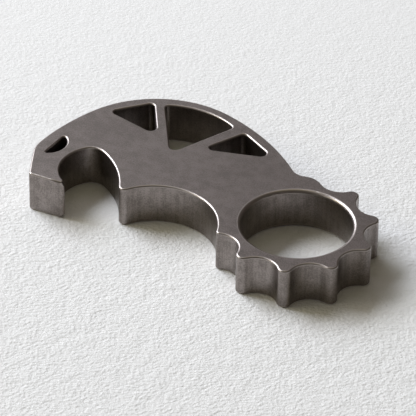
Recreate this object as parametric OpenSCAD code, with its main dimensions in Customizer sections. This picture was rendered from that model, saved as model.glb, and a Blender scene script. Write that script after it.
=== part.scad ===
// Keychain bottle opener, milled from one plate of metal. Millimetres.
// The plate lies flat and +Z points up out of its broad face. The origin is on the axis of the
// finger bore, halfway through the plate. The head with the cap jaw points to -X, and the arch
// over it to +Y.
//
// The outline is a ring of circles that touch one another. Each is [x, y, r]: with r above 0
// the metal is inside the circle, with r below 0 it is outside. Every stretch of the edge is
// then a turned piece of the same rounded section, and the pieces meet face to face.

/* [Plate] */
// Thickness of the plate
plate_t = 9.5; // [7:0.25:12]
// Rounding along the outside edges and the window edges
edge_r = 0.4; // [0.25:0.05:0.4]

/* [Finger ring] */
// Diameter of the finger bore
bore_d = 24; // [22:0.25:25]
// Rounding of the bore's two rims
rim_r = 0.8; // [0.4:0.1:1.2]
// Metal between the bore and the bottom of a scallop
ring_wall = 2.55; // [2.2:0.05:3]
// Height of a tooth over the bottom of the scallops
tooth_h = 3.05; // [2.6:0.05:3.4]
// Rounding of a tooth's tip
tip_r = 1.6; // [1.3:0.05:1.8]
// Angle from one tooth to the next
tooth_pitch = 35.4; // [35:0.1:35.8]
// Direction of the first tooth, counted from +X
first_tooth = 99.3; // [98.5:0.1:100]

/* [Shank] */
// Centre of the notch between the ring and the shank, along X
notch_x = -5.35; // [-5.7:0.05:-5]
// Centre of the notch, along Y
notch_y = 20.65; // [20.3:0.05:21]
// Radius of the notch
notch_r = 3.65; // [3.3:0.05:4]
// Radius of the bump between the notch and the first scallop
bump_r = 4.35; // [3.8:0.05:4.8]
// Radius of the long bend from the notch up to the arch
bend_r = 51.85; // [48:0.05:56]

/* [Head] */
// Centre of the arch, along X
arch_x = -37.7; // [-38.1:0.05:-37.3]
// Centre of the arch, along Y
arch_y = 8.15; // [7.8:0.05:8.5]
// Radius of the arch
arch_r = 25.75; // [25.4:0.05:26.1]
// Radius of the shoulder between the arch and the long side
shoulder_r = 23; // [21:0.5:25]
// Radius of the long side of the head
side_r = 50; // [48:0.5:52]
// Where the long side's circle ends along X
side_x = -63.75; // [-64:0.05:-63.5]
// Centre of the long side's circle, along Y
side_y = -2.75; // [-3.2:0.05:-2.3]
// Radius of the nose over the beak
nose_r = 8; // [6:0.5:10]
// Height at which the front of the beak is measured
beak_y = -1; // [-1.5:0.1:-0.5]
// Where the front of the beak ends along X, at beak_y
beak_x = -61.7; // [-61.9:0.05:-61.5]
// Lean of the front of the beak
beak_lean = 18.6; // [17.6:0.1:19.6]
// Rounding of the beak's outer corner
beak_r = 1; // [0.8:0.1:1.5]
// Where the height of the beak's bottom edge is measured, along X
lip_x = -56; // [-57:0.5:-55]
// Height of the beak's bottom edge at lip_x
lip_y = -6.2; // [-6.4:0.05:-6]
// Slope of the beak's bottom edge
lip_slope = 3.2; // [2.5:0.1:4]
// Rounding of the lip
lip_r = 0.5; // [0.5:0.05:0.6]
// Direction in which the end of the lip points, below +X
lip_turn = 23; // [15:1:30]
// Distance from the lip's rounding centre back to its two end bevels
lip_back = 0.45; // [0.3:0.05:0.6]
// Slope of the two end bevels
lip_bevel = 50; // [45:1:60]

/* [Cap jaw] */
// Centre of the jaw's outer curve, along X
jaw_x = -60.6; // [-60.8:0.05:-60.4]
// Centre of the jaw's outer curve, along Y
jaw_y = -9.85; // [-10.1:0.05:-9.6]
// Radius of the jaw's outer curve
jaw_r = 21.6; // [21.4:0.05:21.8]
// Radius of the jaw's deep corner
jaw_corner_r = 3.35; // [3:0.05:3.7]
// Centre of the beak's inner curve, along X
hook_x = -46.65; // [-46.8:0.05:-46.5]
// Centre of the beak's inner curve, along Y
hook_y = 1.5; // [1.4:0.05:1.6]
// Radius of the beak's inner curve
hook_r = 8.7; // [8.6:0.05:8.8]
// Rounding of the heel between the jaw and the groove
heel_r = 1.35; // [1:0.05:1.5]

/* [Finger groove] */
// Centre of the groove, along X
groove_x = -28; // [-28.6:0.1:-27.8]
// Centre of the groove, along Y
groove_y = -11.9; // [-12.2:0.1:-11.6]
// Radius of the groove
groove_r = 13.5; // [13.3:0.05:13.8]
// Rounding of the tooth at the groove's ring end
horn_r = 0.9; // [0.8:0.05:1.2]

/* [Windows] */
// Radius of the window corners
corner_r = 1; // [0.8:0.05:1.2]
// Radius of the left window's lower right corner and the right window's right corner
point_r = 1.3; // [1.1:0.05:1.5]
// Radius of the middle window's lower end
toe_r = 1.3; // [1.1:0.1:1.8]
// Radius of the middle window's top
crown_r = 18.5; // [17.5:0.1:19.5]
// Centre of the middle window's top, along X
crown_x = -36.6; // [-36.9:0.05:-36.3]
// Metal between the arch's crest and the middle window's top
crown_wall = 2.45; // [2.15:0.05:2.75]
// Sharp corner that the middle window's lower end rounds off, along X
toe_x = -35.05; // [-35.25:0.05:-34.85]
// Sharp corner that the middle window's lower end rounds off, along Y
toe_y = 13.65; // [13.45:0.05:13.85]
// Middle window's sharp upper left corner, along X
mid_left_x = -43.15; // [-43.35:0.05:-42.95]
// Middle window's sharp upper left corner, along Y
mid_left_y = 29.9; // [29.7:0.05:30.1]
// Middle window's sharp upper right corner, along X
mid_right_x = -25.8; // [-26:0.05:-25.6]
// Middle window's sharp upper right corner, along Y
mid_right_y = 28.5; // [28.3:0.05:28.7]
// Metal between the arch and the left window's sharp outer corner
left_out_wall = 3.7; // [3.5:0.05:3.9]
// Direction from the arch's centre to that corner
left_out_turn = 136.9; // [135.9:0.1:137.9]
// Metal between the arch and the left window's sharp top corner
left_top_wall = 2.35; // [2.15:0.05:2.55]
// Direction from the arch's centre to that corner
left_top_turn = 110.5; // [109.5:0.1:111.5]
// Left window's sharp lower corner, along X
left_low_x = -40.35; // [-40.55:0.05:-40.15]
// Left window's sharp lower corner, along Y
left_low_y = 18.7; // [18.5:0.05:18.9]
// Metal between the arch and the right window's sharp top corner
right_top_wall = 1.8; // [1.6:0.05:2]
// Direction from the arch's centre to that corner
right_top_turn = 51.8; // [50.8:0.1:52.8]
// Right window's sharp outer corner, along X
right_out_x = -13.6; // [-13.8:0.05:-13.4]
// Right window's sharp outer corner, along Y
right_out_y = 20.65; // [20.45:0.05:20.85]
// Right window's sharp lower corner, along X
right_low_x = -29.15; // [-29.35:0.05:-28.95]
// Right window's sharp lower corner, along Y
right_low_y = 17.8; // [17.6:0.05:18]

/* [Eye slot] */
// Centre of the slot's round side, along X
eye_x = -61.25; // [-61.5:0.05:-61]
// Centre of the slot's round side, along Y
eye_y = 6.8; // [6.6:0.05:7]
// Radius of the slot's round side
eye_r = 4.2; // [4.05:0.05:4.35]
// Where the slot's flat side crosses the height eye_y, along X
eye_flat_x = -59.55; // [-59.75:0.05:-59.35]
// Direction of the slot's flat side
eye_lean = 79.8; // [78:0.2:82]
// Rounding of the slot's two ends
eye_end_r = 0.4; // [0.35:0.05:0.5]

/* [Hidden] */
$fn = 96;
// A straight side is an arc of this radius, so every seam lies between two circles.
straight_r = 1000;
// Flat steps in the rounding of an edge.
edge_steps = 3;
// How far the turned pieces reach into the metal, and where the core starts.
band_w = edge_r + 0.08;
core_in = edge_r + 0.04;
// The most that a chord of the core may leave its arc.
chord_off = 0.02;
// How far a cut runs past the turned pieces on the metal's side, and on the open side.
trim = 0.02;
spare = 0.2;
// Reach of the cutter that bevels the lip.
bevel_cut = 3;
bore_r = bore_d / 2;
valley_r = bore_r + ring_wall;
tooth_r = valley_r + tooth_h;
// A tip circle and a scallop circle touch: this is where their centres have to stand.
tip_at = tooth_r - tip_r;
tip_gap = valley_r - tip_r;
half_pitch = tooth_pitch / 2;
scallop_at = (tip_at ^ 2 - tip_gap ^ 2) / (2 * (tip_at * cos(half_pitch) - tip_gap));
scallop_r = scallop_at - valley_r;

function centre(c) = [c[0], c[1]];
function polar(r, a) = [r * cos(a), r * sin(a)];
function tip(i) = [each polar(tip_at, first_tooth - tooth_pitch * i), tip_r];
function scallop(i) = [each polar(scallop_at, first_tooth - tooth_pitch * (i + 0.5)), -scallop_r];
// A straight side through p that runs in direction a, with the metal on its left.
function straight(p, a) = [each (p + straight_r * [-sin(a), cos(a)]), straight_r];
// A straight side between two points.
function side(p, q) = straight((p + q) / 2, atan2(q[1] - p[1], q[0] - p[0]));
// The circle of radius r that touches a and b; side is 1 for the left of the way from a to b.
function blend(a, b, r, side) =
  let (
    ra = abs(a[2] - r),
    rb = abs(b[2] - r),
    way = centre(b) - centre(a),
    d = norm(way),
    u = way / d,
    x = (d ^ 2 + ra ^ 2 - rb ^ 2) / (2 * d),
    y = side * sqrt(ra ^ 2 - x ^ 2)
  )
  [each (centre(a) + x * u + y * [-u[1], u[0]]), r];
// A point inside the arch, with so much metal between them, in a direction from its centre.
function under_arch(wall, turn) = centre(arch) + polar(arch_r - wall, turn);
// A window with three sides. Its corners run clockwise, and radii start at the second one.
function window(p, radii) =
  let (sides = [for (i = [0:2]) side(p[i], p[(i + 1) % 3])])
  [for (i = [0:2]) each [sides[i], blend(sides[i], sides[(i + 1) % 3], -radii[i], -1)]];

// The outline, anticlockwise from the tooth that points away from the head.
notch = [notch_x, notch_y, -notch_r];
arch = [arch_x, arch_y, arch_r];
long_side = [side_x + side_r, side_y, side_r];
beak_front = straight([beak_x, beak_y], 270 + beak_lean);
beak_under = straight([lip_x, lip_y], 360 - lip_slope);
hook = [hook_x, hook_y, -hook_r];
lip = blend(beak_under, hook, lip_r, -1);
jaw = [jaw_x, jaw_y, -jaw_r];
groove = [groove_x, groove_y, -groove_r];
outline = [
  tip(3),
  scallop(2),
  tip(2),
  scallop(1),
  tip(1),
  scallop(0),
  blend(scallop(0), notch, bump_r, 1),
  notch,
  blend(notch, arch, bend_r, 1),
  arch,
  blend(arch, long_side, shoulder_r, 1),
  long_side,
  blend(long_side, beak_front, nose_r, 1),
  beak_front,
  blend(beak_front, beak_under, beak_r, 1),
  beak_under,
  lip,
  hook,
  blend(hook, jaw, -jaw_corner_r, -1),
  jaw,
  blend(jaw, groove, heel_r, 1),
  groove,
  blend(groove, scallop(6), horn_r, 1),
  scallop(6),
  tip(6),
  scallop(5),
  tip(5),
  scallop(4),
  tip(4),
  scallop(3)
];

// The windows and the eye slot, clockwise, so that the metal is on the left here as well.
crown = [crown_x, arch_y + arch_r - crown_wall - crown_r, -crown_r];
mid_right = side([mid_right_x, mid_right_y], [toe_x, toe_y]);
mid_left = side([toe_x, toe_y], [mid_left_x, mid_left_y]);
middle_window = [
  crown,
  blend(crown, mid_right, -corner_r, 1),
  mid_right,
  blend(mid_right, mid_left, -toe_r, -1),
  mid_left,
  blend(mid_left, crown, -corner_r, 1)
];
left_out = under_arch(left_out_wall, left_out_turn);
left_top = under_arch(left_top_wall, left_top_turn);
left_low = [left_low_x, left_low_y];
left_window = window([left_out, left_top, left_low], [corner_r, point_r, corner_r]);
right_top = under_arch(right_top_wall, right_top_turn);
right_out = [right_out_x, right_out_y];
right_low = [right_low_x, right_low_y];
right_window = window([right_top, right_out, right_low], [point_r, corner_r, corner_r]);
eye_flat = straight([eye_flat_x, eye_y], eye_lean);
eye_round = [eye_x, eye_y, -eye_r];
eye_slot = [
  eye_flat,
  blend(eye_flat, eye_round, -eye_end_r, 1),
  eye_round,
  blend(eye_round, eye_flat, -eye_end_r, 1)
];

// The point where two neighbours in a chain touch, and the way out of the metal there.
function seam(a, b) = centre(a) + (centre(b) - centre(a)) * a[2] / (a[2] - b[2]);
function outward(c, s) = (s - centre(c)) / c[2];
// Where an arc starts and how far it turns, both in degrees.
function arc_of(c, s0, s1) =
  let (
    a0 = atan2(s0[1] - c[1], s0[0] - c[0]),
    a1 = atan2(s1[1] - c[1], s1[0] - c[0]),
    d = (a1 - a0) * sign(c[2])
  )
  [a0, sign(c[2]) * (d < 0 ? d + 360 : d)];
// Points along an arc, at a depth under the surface, without its two ends.
function along(c, arc, deep, steps) =
  let (r = abs(c[2]) - sign(c[2]) * deep)
  [for (j = [1:1:steps - 1]) centre(c) + polar(r, arc[0] + arc[1] * j / steps)];
// Corners of a line of chords that stays outside a circle, along an arc with the same centre.
function around(c, arc, r, steps) =
  let (far = r / cos(arc[1] / steps / 2))
  [for (j = [0:steps - 1]) centre(c) + polar(far, arc[0] + arc[1] * (j + 0.5) / steps)];
function backwards(v) = [for (i = [len(v) - 1:-1:0]) v[i]];
// Steps that keep a chord close to its arc.
function fine_steps(c, arc) =
  let (r = abs(c[2]), fine = 2 * acos(1 - chord_off / max(r, band_w)))
  max(1, ceil(abs(arc[1]) / min(fine, 30)));
// The line just inside the rounding, along a whole chain.
function inner_line(chain) =
  let (n = len(chain))
  [
    for (i = [0:n - 1])
      let (
        c = chain[i],
        s0 = seam(chain[(i + n - 1) % n], c),
        s1 = seam(c, chain[(i + 1) % n]),
        arc = arc_of(c, s0, s1)
      )
      each concat([s0 - outward(c, s0) * core_in], along(c, arc, core_in, fine_steps(c, arc)))
  ];
function fixed(v, digits) = round(v * 10 ^ digits) / 10 ^ digits;
function fixed_points(v, digits) = [for (p = v) [fixed(p[0], digits), fixed(p[1], digits)]];

// Moves by p in two steps. The file that leaves OpenSCAD keeps six digits of a number, and in
// one step the seams would miss each other by a tenth of a micron.
module at(p) {
  coarse = [fixed(p[0], 2), fixed(p[1], 2)];
  translate(coarse) translate(p - coarse) children();
}

// Section through an edge of the plate: the wall is at x = 0 and the metal at x < 0. The
// rounding is cut in a few flat steps, as a ball-nosed cutter leaves it.
module edge_section() {
  corner = [
    for (i = [0:edge_steps])
      let (a = 90 * i / edge_steps)
      [fixed(edge_r * (cos(a) - 1), 4), fixed(edge_r * (1 - sin(a)), 4)]
  ];
  polygon(concat(
    corner,
    [[-band_w, 0], [-band_w, plate_t]],
    backwards([for (p = corner) [p[0], plate_t - p[1]]])
  ));
}

// One stretch of the edge: turned a little too far both ways, then cut off at the two seams.
module stretch(before, c, after) {
  s0 = seam(before, c);
  s1 = seam(c, after);
  n0 = outward(c, s0);
  n1 = outward(c, s1);
  arc = arc_of(c, s0, s1);
  steps = max(1, ceil(abs(arc[1]) / 30));
  r = abs(c[2]);
  deep = band_w + trim;
  // On the round side the cutter's chords would fall inwards, so there it goes around the ring.
  outer = c[2] > 0 ? around(c, arc, r + spare, steps) : along(c, arc, -spare, steps);
  inner = c[2] > 0 ? along(c, arc, deep, steps) : around(c, arc, r + deep, steps);
  sector = concat(
    [s0 - n0 * deep, s0 + n0 * spare],
    outer,
    [s1 + n1 * spare, s1 - n1 * deep],
    backwards(inner)
  );
  over = 30 / r;
  intersection() {
    at(centre(c))
      rotate_extrude(start = min(arc[0], arc[0] + arc[1]) - over, angle = abs(arc[1]) + 2 * over)
        at([r, 0])
          if (c[2] > 0) edge_section();
          else mirror([1, 0]) edge_section();
    translate([0, 0, -1])
      linear_extrude(plate_t + 2)
        polygon(fixed_points(sector, 4));
  }
}

// The rounded edge along a whole chain.
module edge_ring(chain) {
  n = len(chain);
  for (i = [0:n - 1]) stretch(chain[(i + n - 1) % n], chain[i], chain[(i + 1) % n]);
}

// The plate inside its rounded edges.
module core() {
  linear_extrude(plate_t)
    difference() {
      polygon(fixed_points(inner_line(outline), 4));
      polygon(fixed_points(inner_line(middle_window), 4));
      polygon(fixed_points(inner_line(left_window), 4));
      polygon(fixed_points(inner_line(right_window), 4));
      polygon(fixed_points(inner_line(eye_slot), 4));
      circle(bore_r + rim_r + spare / 2);
    }
}

// The lining of the finger bore, with its two rounded rims.
module bore_rim() {
  wide = rim_r + spare;
  rotate_extrude() {
    translate([bore_r + rim_r, 0]) square([wide - rim_r, plate_t]);
    translate([bore_r, rim_r]) square([wide, plate_t - 2 * rim_r]);
    translate([bore_r + rim_r, rim_r]) circle(rim_r);
    translate([bore_r + rim_r, plate_t - rim_r]) circle(rim_r);
  }
}

// The plate with all its rounded edges, standing on z = 0.
module plate() {
  core();
  bore_rim();
  edge_ring(outline);
  edge_ring(middle_window);
  edge_ring(left_window);
  edge_ring(right_window);
  edge_ring(eye_slot);
}

// What is cut off the end of the lip at the top: everything over a slope that falls to its tip.
module lip_cut() {
  translate([lip[0], lip[1], plate_t / 2])
    rotate([0, 0, -lip_turn])
      translate([-lip_back, 0, 0])
        rotate([0, lip_bevel, 0])
          translate([-bevel_cut / 2, -bevel_cut / 2, 0])
            cube(bevel_cut);
}

// The opener: one solid piece of metal, with half of its thickness below the origin.
module opener_body() {
  color([0.44, 0.43, 0.42])
    difference() {
      translate([0, 0, -plate_t / 2]) plate();
      lip_cut();
      mirror([0, 0, 1]) lip_cut();
    }
}

opener_body();
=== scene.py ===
"""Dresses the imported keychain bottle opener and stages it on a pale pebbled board.

The opener is one milled plate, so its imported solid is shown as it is, with true normals over its
rounded edges and a procedural finish of blasted and tumbled titanium. Nothing is added to it.
"""

import logging
import math
from dataclasses import dataclass, field
from enum import Enum

import bpy
from mathutils import Matrix, Vector
from mathutils.bvhtree import BVHTree

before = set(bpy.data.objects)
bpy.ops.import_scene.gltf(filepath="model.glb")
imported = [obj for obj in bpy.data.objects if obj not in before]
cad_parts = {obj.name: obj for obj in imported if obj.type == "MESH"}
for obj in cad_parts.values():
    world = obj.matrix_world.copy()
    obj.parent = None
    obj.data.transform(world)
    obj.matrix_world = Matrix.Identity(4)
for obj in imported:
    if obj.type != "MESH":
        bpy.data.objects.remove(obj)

MM = 0.001
FRAME_PX = 416
LOG = logging.getLogger("opener")


class Toward(Enum):
    """The way in the picture in which a point lies further out than its neighbours."""

    LEFT = (-1, 0)
    RIGHT = (1, 0)
    UP = (0, -1)
    DOWN = (0, 1)


def linear(hex_colour: str) -> tuple[float, float, float, float]:
    """Turns an sRGB hex colour into the linear colour that the shaders take.

    Args:
        hex_colour: six hex digits, with or without a leading hash.

    Returns:
        Red, green, blue and an alpha of 1.
    """
    digits = hex_colour.lstrip("#")
    parts = [int(digits[i : i + 2], 16) / 255 for i in (0, 2, 4)]
    red, green, blue = (c / 12.92 if c <= 0.04045 else ((c + 0.055) / 1.055) ** 2.4 for c in parts)
    return red, green, blue, 1.0


def add_node(
    tree: bpy.types.NodeTree, kind: str, links: dict | None = None, **settings: object
) -> bpy.types.Node:
    """Adds one node with its settings and its links.

    Args:
        tree: the node tree that takes the node.
        kind: the node's type name.
        links: input name or number, to either a value or an output socket of another node.
        settings: attributes of the node, such as operation or data_type.

    Returns:
        The new node.
    """
    node = tree.nodes.new(kind)
    for name, value in settings.items():
        setattr(node, name, value)
    for name, value in (links or {}).items():
        if isinstance(value, bpy.types.NodeSocket):
            tree.links.new(value, node.inputs[name])
        else:
            node.inputs[name].default_value = value
    return node


def noise(
    tree: bpy.types.NodeTree,
    place: bpy.types.NodeSocket,
    size_mm: float,
    detail: float,
    roughness: float,
) -> bpy.types.NodeSocket:
    """Adds a noise of one size, about 0.5 in the mean.

    Args:
        tree: the material's node tree.
        place: the coordinates in metres.
        size_mm: the width of one swell.
        detail: how many finer layers it has.
        roughness: how strong the finer layers are, from 0 to 1.

    Returns:
        The noise's value.
    """
    settings = {"Vector": place, "Scale": 1 / (size_mm * MM), "Detail": detail}
    settings["Roughness"] = roughness
    return add_node(tree, "ShaderNodeTexNoise", settings).outputs["Fac"]


def direction(bearing_deg: float, height_deg: float) -> Vector:
    """Gives the unit vector with a bearing from +X and a height over the floor.

    Args:
        bearing_deg: degrees from +X towards +Y.
        height_deg: degrees over the floor.

    Returns:
        The unit vector.
    """
    bearing, height = math.radians(bearing_deg), math.radians(height_deg)
    level = math.cos(height)
    return Vector((level * math.cos(bearing), level * math.sin(bearing), math.sin(height)))


@dataclass(frozen=True)
class PhotoCamera:
    """The camera that took the photograph, in the frame of the CAD model.

    A long lens from some way off: its height and distance come from the bore's rim, and its
    bearing from the plate's outline.
    """

    aim_mm: tuple[float, float, float] = (-19.4519, -2.4359, 4.75)
    distance_mm: float = 747.669
    bearing_deg: float = -68.0
    height_deg: float = 35.58
    roll_deg: float = 0.9
    focal_px: float = 3500.0
    sensor_mm: float = 36.0
    clip_m: tuple[float, float] = (0.01, 10.0)

    def axes(self) -> tuple[Vector, Vector, Vector]:
        """Works out the camera's axes.

        Returns:
            Unit vectors to the right, up and back.
        """
        back = direction(self.bearing_deg, self.height_deg)
        level = Vector((0, 0, 1)).cross(back).normalized()
        upright = back.cross(level)
        roll = math.radians(self.roll_deg)
        right = level * math.cos(roll) + upright * math.sin(roll)
        return right, back.cross(right), back

    def build(self) -> bpy.types.Object:
        """Makes the camera and gives it to the scene.

        Returns:
            The camera's object.
        """
        right, up, back = self.axes()
        data = bpy.data.cameras.new("photo_camera")
        data.sensor_fit = "AUTO"
        data.sensor_width = self.sensor_mm
        data.lens = self.focal_px / FRAME_PX * self.sensor_mm
        data.clip_start, data.clip_end = self.clip_m
        camera = bpy.data.objects.new("photo_camera", data)
        place = Vector(self.aim_mm) * MM + back * self.distance_mm * MM
        turn = Matrix((right, up, back)).transposed().to_4x4()
        camera.matrix_world = Matrix.Translation(place) @ turn
        bpy.context.scene.collection.objects.link(camera)
        bpy.context.scene.camera = camera
        return camera


@dataclass(frozen=True)
class ImagePoint:
    """A point of the photograph, and what shows there.

    The thing at the point is the finished vertex that shows furthest towards one side of the
    picture: of the whole opener, or of a region of its top face given by X and Y in the CAD frame.
    A point of the whole opener has one coordinate alone. face_mm is the height from which a
    vertex counts as part of the top face.
    """

    name: str
    x: float | None
    y: float | None
    toward: Toward
    region_mm: tuple[float, float, float, float] | None = None
    face_mm: float = 4.74

    def holds(self, place: Vector) -> bool:
        """Says whether a place on the opener lies in the point's region."""
        if self.region_mm is None:
            return True
        low_x, high_x, low_y, high_y = (value * MM for value in self.region_mm)
        in_region = low_x <= place.x <= high_x and low_y <= place.y <= high_y
        return in_region and place.z >= self.face_mm * MM


IMAGE_POINTS = (
    ImagePoint("opener_left", 28.2, None, Toward.LEFT),
    ImagePoint("opener_right", 379.4, None, Toward.RIGHT),
    ImagePoint("opener_top", None, 98.9, Toward.UP),
    ImagePoint("opener_bottom", None, 309.0, Toward.DOWN),
    ImagePoint("bore_left", 238.5, 223.0, Toward.LEFT, (-12.1, -11.0, -6.0, -3.5)),
    ImagePoint("bore_right", 357.5, 224.0, Toward.RIGHT, (11.0, 12.1, 3.5, 6.0)),
    ImagePoint("bore_far", 295.0, 189.0, Toward.UP, (-7.0, -2.0, 10.0, 13.0)),
    ImagePoint("bore_near", 301.0, 260.0, Toward.DOWN, (3.5, 6.0, -12.2, -11.0)),
    ImagePoint("beak_corner", 31.0, 171.0, Toward.LEFT, (-61.0, -58.0, -6.0, -2.0)),
    ImagePoint("lip_tip", 59.8, 181.8, Toward.RIGHT, (-56.0, -50.0, -8.0, -3.0)),
    ImagePoint("heel_corner", 125.5, 188.5, Toward.DOWN, (-42.0, -37.0, -5.0, -1.0)),
    ImagePoint("left_window_tip", 114.0, 112.0, Toward.LEFT, (-54.0, -50.0, 22.0, 26.0)),
    ImagePoint("middle_window_foot", 174.0, 150.5, Toward.DOWN, (-38.0, -32.0, 13.0, 17.0)),
    ImagePoint("right_window_end", 267.5, 153.0, Toward.RIGHT, (-18.0, -13.0, 18.0, 23.0)),
    ImagePoint("groove_end", 217.5, 232.0, Toward.DOWN, (-14.7, -13.9, -9.9, -8.9)),
    ImagePoint("front_tooth", 284.5, 272.0, Toward.DOWN, (1.0, 6.0, -19.0, -14.0)),
)


class PhotoView:
    """Sets the image points against the finished opener, as the camera sees it."""

    def __init__(self, camera: bpy.types.Object, carrier: bpy.types.Object) -> None:
        """Takes the opener's finished surface.

        Args:
            camera: the scene's camera.
            carrier: the object whose surface carries the points.
        """
        self.camera = camera.matrix_world.copy()
        self.data = camera.data
        bpy.context.view_layer.update()
        finished = carrier.evaluated_get(bpy.context.evaluated_depsgraph_get())
        mesh = finished.to_mesh()
        self.corners = [finished.matrix_world @ vertex.co for vertex in mesh.vertices]
        facets = [tuple(face.vertices) for face in mesh.polygons]
        self.tree = BVHTree.FromPolygons(self.corners, facets)
        finished.to_mesh_clear()

    def ray(self, x: float, y: float) -> Vector:
        """Gives the direction in which the camera sees a point of the picture.

        Args:
            x: pixels from the picture's left side.
            y: pixels from the picture's top.

        Returns:
            The unit vector from the camera.
        """
        across = x - FRAME_PX / 2 + self.data.shift_x * FRAME_PX
        upward = FRAME_PX / 2 - y + self.data.shift_y * FRAME_PX
        deep = -FRAME_PX * self.data.lens / self.data.sensor_width
        return (self.camera.to_3x3() @ Vector((across, upward, deep))).normalized()

    def place(self, x: float, y: float) -> Vector:
        """Finds where a point of the picture lies on the finished opener.

        Args:
            x: pixels from the picture's left side.
            y: pixels from the picture's top.

        Returns:
            The place that the ray meets or, where it misses, the place nearest the ray.
        """
        eye, way = self.camera.translation, self.ray(x, y)
        met = self.tree.ray_cast(eye, way)[0]
        if met is not None:
            return met
        near = min(self.corners, key=lambda corner: (corner - eye).cross(way).length)
        along = eye + way * (near - eye).dot(way)
        return self.tree.find_nearest(along)[0]

    def pixel(self, place: Vector) -> tuple[float, float]:
        """Gives the x and y in the picture at which a place shows."""
        local = self.camera.inverted() @ place
        scale = FRAME_PX * self.data.lens / self.data.sensor_width / -local.z
        across = FRAME_PX / 2 + local.x * scale - self.data.shift_x * FRAME_PX
        return across, FRAME_PX / 2 - local.y * scale + self.data.shift_y * FRAME_PX

    def shows(self, place: Vector, slack_mm: float = 0.1) -> bool:
        """Says whether nothing of the opener stands between the camera and a place on it."""
        eye = self.camera.translation
        reach = (place - eye).length
        met = self.tree.ray_cast(eye, (place - eye) / reach)[3]
        return met is None or met > reach - slack_mm * MM

    def report(self, points: tuple[ImagePoint, ...]) -> None:
        """Finds the corners that show in each point's region and, for a point with both x and y,
        the place on the opener that its ray meets; it writes nothing.

        Args:
            points: the image points.
        """
        seen = [(corner, self.pixel(corner)) for corner in self.corners if self.shows(corner)]
        for point in points:
            near = [at for corner, at in seen if point.holds(corner)]
            if not near:
                continue
            if point.x is not None and point.y is not None:
                met = self.place(point.x, point.y)


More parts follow.
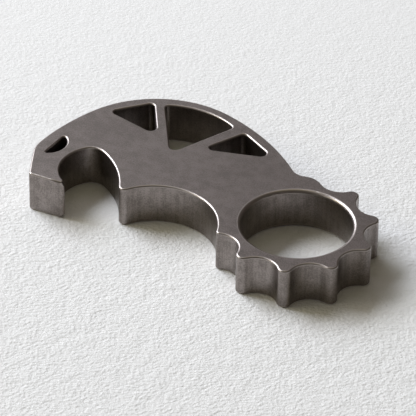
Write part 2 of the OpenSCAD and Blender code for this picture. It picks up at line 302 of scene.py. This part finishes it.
@dataclass(frozen=True)
class TumbledTitanium:
    """Titanium plate, blasted with fine bead and then tumbled.

    The eye gets a warm dark grey with a soft, broad gloss, a fine even grain from the bead, faint
    clouds and rubs from the tumbling, upright marks that the cutter left on the walls, and edges
    that are brighter and smoother, because the tumbling rubbed the skin through there.
    """

    name: str = "titanium_bead_blasted_tumbled"
    body_hex: str = "978f8b"
    dull_hex: str = "7a736f"
    edge_hex: str = "a8a19c"
    roughness: float = 0.34
    edge_roughness: float = 0.36
    roughness_swing: float = 0.05
    grain_mm: float = 0.3
    rub_mm: float = 2.2
    cloud_mm: float = 9.0
    cutter_mark_mm: float = 0.9
    bump_mm: float = 0.02
    grain_detail: float = 2.0
    broad_detail: float = 3.0
    noise_roughness: float = 0.55
    even_share: float = 0.5
    grain_share: float = 0.45
    spread: tuple[float, float] = (0.42, 0.58)
    mark_scale: tuple[float, float, float] = (1.0, 1.0, 0.03)
    wall_tilt: float = 0.05
    face_tilt: float = 0.998

    def blend(
        self, tree: bpy.types.NodeTree, share: object, first: object, second: object
    ) -> bpy.types.NodeSocket:
        """Mixes two values.

        Args:
            tree: the material's node tree.
            share: how much of the second one, from 0 to 1.
            first: a value or a socket.
            second: a value or a socket.

        Returns:
            The mixed value.
        """
        links = {"Factor": share, "A": first, "B": second}
        return add_node(tree, "ShaderNodeMix", links, data_type="FLOAT").outputs["Result"]

    def masks(self, tree: bpy.types.NodeTree) -> tuple[bpy.types.NodeSocket, bpy.types.NodeSocket]:
        """Tells the walls and the rounded edges from the broad faces by how the facets lie.

        Args:
            tree: the material's node tree.

        Returns:
            A mask of the upright walls and a mask of the rounded edges.
        """
        facet = add_node(tree, "ShaderNodeNewGeometry").outputs["True Normal"]
        up = add_node(tree, "ShaderNodeSeparateXYZ", {"Vector": facet}).outputs["Z"]
        tilt = add_node(tree, "ShaderNodeMath", {0: up}, operation="ABSOLUTE").outputs[0]
        wall = add_node(
            tree, "ShaderNodeMath", {0: tilt, 1: self.wall_tilt}, operation="LESS_THAN"
        ).outputs[0]
        face = add_node(
            tree, "ShaderNodeMath", {0: tilt, 1: self.face_tilt}, operation="GREATER_THAN"
        ).outputs[0]
        rest = add_node(tree, "ShaderNodeMath", {0: 1.0, 1: wall}, operation="SUBTRACT").outputs[0]
        edge = add_node(tree, "ShaderNodeMath", {0: rest, 1: face}, operation="SUBTRACT").outputs[0]
        return wall, edge

    def build(self) -> bpy.types.Material:
        """Makes the material.

        Returns:
            The finished node material.
        """
        material = bpy.data.materials.new(self.name)
        material.use_nodes = True
        tree = material.node_tree
        shader = tree.nodes["Principled BSDF"]
        shader.inputs["Metallic"].default_value = 1.0
        place = add_node(tree, "ShaderNodeTexCoord").outputs["Object"]
        wall, edge = self.masks(tree)
        # The real grain of the bead is near 0.1 mm. It is drawn coarser, so that it shows at all.
        grain = noise(tree, place, self.grain_mm, self.grain_detail, self.noise_roughness)
        rubs = noise(tree, place, self.rub_mm, self.broad_detail, self.noise_roughness)
        clouds = noise(tree, place, self.cloud_mm, self.broad_detail, self.noise_roughness)
        # Upright cutter marks: a noise that hardly changes along Z, shown on the walls only.
        squeeze = add_node(tree, "ShaderNodeMapping", {"Vector": place, "Scale": self.mark_scale})
        pulled = squeeze.outputs[0]
        marks = noise(tree, pulled, self.cutter_mark_mm, self.broad_detail, self.noise_roughness)
        broad = self.blend(tree, self.even_share, clouds, rubs)
        broad = self.blend(tree, wall, broad, self.blend(tree, self.even_share, marks, rubs))
        speck = self.blend(tree, self.grain_share, broad, grain)
        spread = {"Value": speck, "From Min": self.spread[0], "From Max": self.spread[1]}
        shade = add_node(tree, "ShaderNodeMapRange", spread).outputs["Result"]
        colours = {"Factor": shade, 6: linear(self.dull_hex), 7: linear(self.body_hex)}
        body = add_node(tree, "ShaderNodeMix", colours, data_type="RGBA").outputs[2]
        colours = {"Factor": edge, 6: body, 7: linear(self.edge_hex)}
        colour = add_node(tree, "ShaderNodeMix", colours, data_type="RGBA").outputs[2]
        tree.links.new(colour, shader.inputs["Base Color"])
        # Where the tumbling rubbed the skin it is both lighter and smoother.
        low, high = self.roughness - self.roughness_swing, self.roughness + self.roughness_swing
        rough = self.blend(tree, shade, high, low)
        rough = self.blend(tree, edge, rough, self.edge_roughness)
        tree.links.new(rough, shader.inputs["Roughness"])
        height = self.blend(tree, self.even_share, grain, rubs)
        bump = {"Height": height, "Strength": 1.0, "Distance": self.bump_mm * MM}
        bent = add_node(tree, "ShaderNodeBump", bump).outputs["Normal"]
        tree.links.new(bent, shader.inputs["Normal"])
        return material


@dataclass(frozen=True)
class PebbledBoard:
    """Pale card with a fine pebbled skin, matt, near white with a trace of green."""

    name: str = "pebbled_white_board"
    colour_hex: str = "eeefed"
    pebble_mm: float = 0.8
    swell_mm: float = 3.0
    relief_mm: float = 0.28
    far_relief: float = 0.35
    fade_from_mm: float = 10.0
    fade_to_mm: float = 110.0
    grain_turn_deg: float = 22.0
    grain_stretch: tuple[float, float, float] = (0.95, 1.12, 1.0)
    roughness: float = 0.85
    gloss: float = 0.2
    noise_detail: float = 2.0
    noise_roughness: float = 0.5

    def relief(self, tree: bpy.types.NodeTree) -> bpy.types.NodeSocket:
        """Makes the height of the skin: pebbles on slow swells, softer towards the far side.

        Args:
            tree: the material's node tree.

        Returns:
            The height, from 0 to about 2.
        """
        place = add_node(tree, "ShaderNodeTexCoord").outputs["Object"]
        turn = (0.0, 0.0, -math.radians(self.grain_turn_deg))
        turned = add_node(tree, "ShaderNodeMapping", {"Vector": place, "Rotation": turn}).outputs[0]
        pulled = {"Vector": turned, "Scale": self.grain_stretch}
        along = add_node(tree, "ShaderNodeMapping", pulled).outputs[0]
        pebble = noise(tree, along, self.pebble_mm, self.noise_detail, self.noise_roughness)
        swell = noise(tree, along, self.swell_mm, self.noise_detail, self.noise_roughness)
        height = add_node(tree, "ShaderNodeMath", {0: swell, 1: pebble}, operation="ADD").outputs[0]
        deep = add_node(tree, "ShaderNodeSeparateXYZ", {"Vector": turned}).outputs["Y"]
        ends = {"From Min": self.fade_from_mm * MM, "From Max": self.fade_to_mm * MM}
        ends.update({"Value": deep, "To Min": 1.0, "To Max": self.far_relief})
        fade = add_node(tree, "ShaderNodeMapRange", ends).outputs["Result"]
        parts = {0: height, 1: fade}
        return add_node(tree, "ShaderNodeMath", parts, operation="MULTIPLY").outputs[0]

    def build(self) -> bpy.types.Material:
        """Makes the material.

        Returns:
            The finished node material.
        """
        material = bpy.data.materials.new(self.name)
        material.use_nodes = True
        tree = material.node_tree
        shader = tree.nodes["Principled BSDF"]
        shader.inputs["Base Color"].default_value = linear(self.colour_hex)
        shader.inputs["Roughness"].default_value = self.roughness
        shader.inputs["Specular IOR Level"].default_value = self.gloss
        bump = {"Height": self.relief(tree), "Strength": 1.0, "Distance": self.relief_mm * MM}
        bent = add_node(tree, "ShaderNodeBump", bump).outputs["Normal"]
        tree.links.new(bent, shader.inputs["Normal"])
        return material


@dataclass
class MilledPlate:
    """The whole opener, one plate of metal that was milled, blasted and tumbled."""

    node: str = "opener_body"
    half_thick_mm: float = 4.75
    edge_r_mm: float = 0.4
    bore_r_mm: float = 12.0
    rim_r_mm: float = 0.8
    slack_mm: float = 0.01
    weld_mm: float = 0.0005
    finish: TumbledTitanium = field(default_factory=TumbledTitanium)

    def shown(self) -> bpy.types.Object:
        """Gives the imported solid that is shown."""
        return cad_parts[self.node]

    def kept_axes(self, group: bpy.types.NodeTree) -> bpy.types.NodeSocket:
        """Says at each corner which parts of its normal stay.

        On the broad faces only Z stays, on the upright walls only X and Y, and on the rounding
        between them all three.

        Args:
            group: the geometry node tree.

        Returns:
            A vector of ones and zeros.
        """
        position = add_node(group, "GeometryNodeInputPosition").outputs[0]
        place = add_node(group, "ShaderNodeSeparateXYZ", {0: position}).outputs
        flat = {"X": place["X"], "Y": place["Y"]}
        level = {0: add_node(group, "ShaderNodeCombineXYZ", flat).outputs[0]}
        out = add_node(group, "ShaderNodeVectorMath", level, operation="LENGTH").outputs["Value"]
        rim_end = (self.bore_r_mm + self.rim_r_mm + self.slack_mm) * MM
        within = {0: out, 1: rim_end}
        in_bore = add_node(group, "ShaderNodeMath", within, operation="LESS_THAN").outputs[0]
        radii = {"Factor": in_bore, "A": self.edge_r_mm * MM, "B": self.rim_r_mm * MM}
        radius = add_node(group, "ShaderNodeMix", radii, data_type="FLOAT").outputs["Result"]
        past = (self.half_thick_mm + self.slack_mm) * MM
        below = {0: past, 1: radius}
        start = add_node(group, "ShaderNodeMath", below, operation="SUBTRACT").outputs[0]
        height = add_node(group, "ShaderNodeMath", {0: place["Z"]}, operation="ABSOLUTE").outputs[0]
        over = {0: height, 1: start}
        off_wall = add_node(group, "ShaderNodeMath", over, operation="GREATER_THAN")
        top = (self.half_thick_mm - self.slack_mm) * MM
        under = {0: height, 1: top}
        off_face = add_node(group, "ShaderNodeMath", under, operation="LESS_THAN").outputs[0]
        kept = {"X": off_face, "Y": off_face, "Z": off_wall.outputs[0]}
        return add_node(group, "ShaderNodeCombineXYZ", kept).outputs[0]

    def true_rounds(self) -> bpy.types.NodeTree:
        """Makes the node group that gives the plate true flats, true walls and true rounds.

        Returns:
            The geometry node tree.
        """
        group = bpy.data.node_groups.new("true_rounds", "GeometryNodeTree")
        for way in ("INPUT", "OUTPUT"):
            group.interface.new_socket("Geometry", in_out=way, socket_type="NodeSocketGeometry")
        start = add_node(group, "NodeGroupInput").outputs[0]
        mesh = add_node(group, "GeometryNodeSetShadeSmooth", {"Geometry": start}).outputs[0]
        mean = add_node(group, "GeometryNodeInputNormal").outputs[0]
        parts = {0: mean, 1: self.kept_axes(group)}
        turned = add_node(group, "ShaderNodeVectorMath", parts, operation="MULTIPLY").outputs[0]
        unit = add_node(
            group, "ShaderNodeVectorMath", {0: turned}, operation="NORMALIZE"
        ).outputs[0]
        given = {"Mesh": mesh, "Custom Normal": unit}
        shaded = add_node(group, "GeometryNodeSetMeshNormal", given, mode="FREE", domain="POINT")
        add_node(group, "NodeGroupOutput", {0: shaded.outputs[0]})
        return group

    def smooth(self) -> None:
        """Joins the solid's facets and shades its rounded edges smoothly."""
        plate = self.shown()
        weld = plate.modifiers.new("weld", "WELD")
        weld.merge_threshold = self.weld_mm * MM
        plate.modifiers.new("true_rounds", "NODES").node_group = self.true_rounds()

    def dress(self) -> None:
        """Gives the solid its metal."""
        plate = self.shown()
        plate.data.materials.clear()
        plate.data.materials.append(self.finish.build())

    def build(self) -> bpy.types.Object:
        """Shades and dresses the plate.

        Returns:
            The plate's object.
        """
        self.smooth()
        self.dress()
        return self.shown()


@dataclass(frozen=True)
class SoftLight:
    """One soft oblong light that looks at the middle of the opener."""

    name: str
    left_deg: float
    height_deg: float
    width_m: float
    tall_m: float
    watts: float
    colour_hex: str = "ffffff"
    distance_m: float = 1.8
    aim_mm: tuple[float, float, float] = (-20.0, 8.0, 0.0)

    def build(self, away_deg: float) -> bpy.types.Object:
        """Makes the lamp.

        Args:
            away_deg: the bearing that points straight away from the camera.

        Returns:
            The lamp's object.
        """
        away = direction(away_deg + self.left_deg, self.height_deg)
        data = bpy.data.lights.new(self.name, "AREA")
        data.shape = "RECTANGLE"
        data.size, data.size_y = self.width_m, self.tall_m
        data.energy = self.watts
        data.color = linear(self.colour_hex)[:3]
        lamp = bpy.data.objects.new(self.name, data)
        lamp.location = Vector(self.aim_mm) * MM + away * self.distance_m
        lamp.rotation_euler = away.to_track_quat("Z", "Y").to_euler()
        bpy.context.scene.collection.objects.link(lamp)
        return lamp


@dataclass(frozen=True)
class Stage:
    """The floor that the opener lies on, and the soft light of a room with a window at its left."""

    floor_z_mm: float = -4.75
    floor_size_m: float = 3.0
    away_deg: float = 112.0
    room_hex: str = "ffefe2"
    room_strength: float = 0.1
    board: PebbledBoard = field(default_factory=PebbledBoard)
    lights: tuple[SoftLight, ...] = (
        SoftLight("window", 55, 38, 1.1, 0.84, 36.2, "f1f4ff"),
        SoftLight("window_side", 25, 38, 0.5, 0.8, 3.9, "f3fdff"),
        SoftLight("window_foot", 35, 19, 1.0, 0.32, 3.5, "f7f1ff"),
        SoftLight("left_wall", 90, 32, 0.9, 0.6, 5.1, "fff5d3"),
        SoftLight("left_far", 118, 25, 0.7, 0.7, 1.0, "fffffa"),
        SoftLight("back_wall", 8, 33, 0.6, 0.6, 0.6, "f8f8ff"),
        SoftLight("back_high", 0, 60, 1.0, 0.6, 1.3, "fff2f8"),
        SoftLight("ceiling", 0, 88, 1.2, 1.2, 1.3, "fff8b4"),
    )

    def floor(self) -> bpy.types.Object:
        """Makes the floor.

        Returns:
            The floor's object.
        """
        half, level = self.floor_size_m / 2, self.floor_z_mm * MM
        signs = ((-1, -1), (1, -1), (1, 1), (-1, 1))
        rim = [(x * half, y * half, level) for x, y in signs]
        mesh = bpy.data.meshes.new("floor")
        mesh.from_pydata(rim, [], [(0, 1, 2, 3)])
        mesh.materials.append(self.board.build())
        floor = bpy.data.objects.new("floor", mesh)
        bpy.context.scene.collection.objects.link(floor)
        return floor

    def room(self) -> bpy.types.World:
        """Makes the even, dim light of the rest of the room.

        Returns:
            The scene's world.
        """
        world = bpy.data.worlds.new("room")
        bpy.context.scene.world = world
        world.use_nodes = True
        sky = world.node_tree.nodes["Background"]
        sky.inputs["Color"].default_value = linear(self.room_hex)
        sky.inputs["Strength"].default_value = self.room_strength
        return world

    def build(self) -> None:
        """Makes the floor, the room's light and the lamps."""
        self.floor()
        self.room()
        for light in self.lights:
            light.build(self.away_deg)
        LOG.info("stage: floor and %d lights", len(self.lights))


def set_view() -> None:
    """Sets the plain view transform."""
    bpy.context.scene.view_settings.view_transform = "Standard"


def main() -> None:
    """Builds the scene."""
    logging.basicConfig(level=logging.INFO, format="%(message)s")
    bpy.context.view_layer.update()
    set_view()
    camera = PhotoCamera().build()
    plate = MilledPlate().build()
    LOG.info("%s: %s", plate.name, plate.data.materials[0].name)
    Stage().build()
    PhotoView(camera, plate).report(IMAGE_POINTS)


if __name__ == "__main__":
    main()
